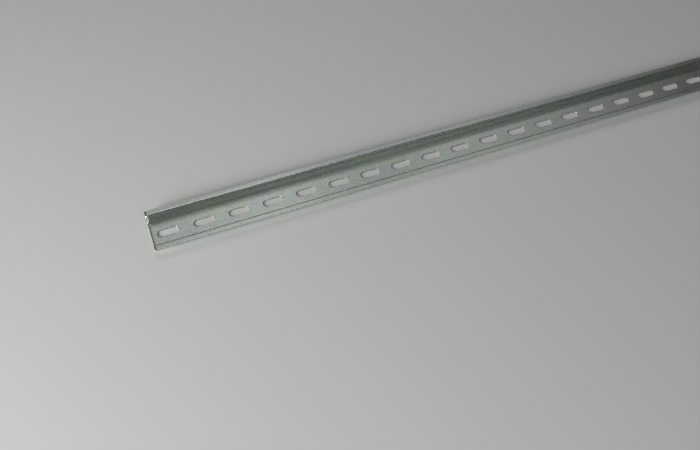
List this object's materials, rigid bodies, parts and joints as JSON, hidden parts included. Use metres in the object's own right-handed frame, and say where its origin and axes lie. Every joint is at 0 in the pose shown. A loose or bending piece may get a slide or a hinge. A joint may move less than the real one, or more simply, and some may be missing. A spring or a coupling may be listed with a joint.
{
  "type": "slotted top-hat mounting rail",
  "caption": "Slotted 35 mm top-hat rail of roll-formed zinc-plated steel, a flat-bottomed channel with outward lips that clip-on control gear hooks over.",
  "frame": {"origin": "on the underside of the web, on the centre line, midway along the rail", "axes": "+X along the rail, +Y across it, +Z out of the open side of the channel"},
  "size_m": [0.5, 0.035, 0.0075],
  "materials": {
    "zinc_plated_strip": "zinc plated and passivated, semi-matt grey with a faint yellow-green and violet mottle and fine lines along the rail"
  },
  "bodies": {
    "root": {"din_rail": "zinc_plated_strip"}
  },
  "joints": []
}
